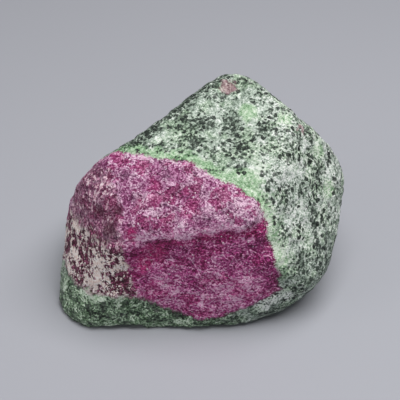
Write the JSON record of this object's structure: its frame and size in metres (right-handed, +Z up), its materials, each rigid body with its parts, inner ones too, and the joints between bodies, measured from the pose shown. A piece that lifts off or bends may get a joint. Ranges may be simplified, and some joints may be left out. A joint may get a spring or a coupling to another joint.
{
  "type": "ruby in zoisite stone",
  "caption": "Loose natural stone: a ruby crystal set in green zoisite rock, worn to a blocky rounded lump that rests on a flat base.",
  "frame": {"origin": "middle of the bounding box's bottom, on the surface the stone rests on", "axes": "+Z up from the resting face, -Y out of the ruby front, +X along the stone's width to the right of the ruby"},
  "size_m": [0.0612, 0.0446, 0.044],
  "materials": {
    "stone": "naturally worn rock, green zoisite with black hornblende grains and a pink to purple-red ruby in front"
  },
  "bodies": {
    "root": {"stone": "stone"}
  },
  "joints": []
}
